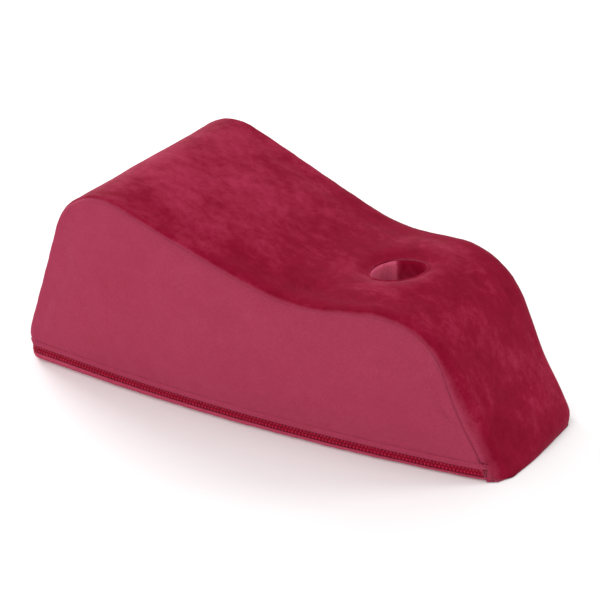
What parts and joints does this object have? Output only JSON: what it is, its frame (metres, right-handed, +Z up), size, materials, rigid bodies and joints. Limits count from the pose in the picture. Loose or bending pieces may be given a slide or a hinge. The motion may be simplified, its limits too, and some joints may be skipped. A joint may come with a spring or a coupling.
{
  "type": "contoured foam wedge cushion",
  "caption": "Contoured foam wedge cushion with a high rear shoulder, a dipped saddle, a round holder pocket in its crest and a zip-off plush cover.",
  "frame": {"origin": "centre of the underside on the floor", "axes": "+X towards the low front end, +Y across the width, +Z up"},
  "size_m": [0.6106, 0.2808, 0.2377],
  "materials": {
    "foam": "open-cell polyurethane foam, matt",
    "liner": "thin smooth woven liner",
    "plush": "short-pile plush, brushed, soft sheen",
    "zip_tape": "woven tape",
    "zip_coil": "dyed coil, satin",
    "zip_metal": "dyed enamel, satin"
  },
  "bodies": {
    "base_flap": {"cover_base_panel": "plush", "cover_border": "plush", "zip_tape_lower": "zip_tape", "zip_coil_lower": "zip_coil", "zip_top_stop_lower": "zip_metal"},
    "cushion": {"foam_core": "foam", "liner_shell": "liner", "liner_base": "liner", "liner_sleeve": "liner", "cover_top_panel": "plush", "cover_near_panel": "plush", "cover_far_panel": "plush", "pocket_sleeve": "plush", "pocket_floor": "plush", "pocket_rim": "plush", "zip_tape_upper": "zip_tape", "zip_coil_upper": "zip_coil", "zip_top_stop_upper": "zip_metal", "zip_bottom_stop": "zip_metal"},
    "zip_slider": {"slider_body": "zip_metal", "slider_wedge": "zip_metal", "slider_back_plate": "zip_metal", "slider_bridge": "zip_metal"},
    "zip_pull": {"pull_tab": "zip_metal", "pull_eye": "zip_metal"}
  },
  "joints": [
    {"name": "base_opening", "type": "hinge", "parent": "base_flap", "child": "cushion", "pos_m": [0.3054, 0, 0.002], "axis": [0, 1, 0], "range_deg": [0, 50]},
    {"name": "zip_travel", "type": "hinge", "parent": "cushion", "child": "zip_slider", "pos_m": [-0.18831, -2.01039, 0.01478], "axis": [0.0105, 0, 0.9999], "range_deg": [0, 12.29]},
    {"name": "pull_swing", "type": "hinge", "parent": "zip_slider", "child": "zip_pull", "pos_m": [0.25817, 0.09652, 0.01011], "axis": [0.0105, 0, 0.9999], "range_deg": [-150, 0]}
  ]
}
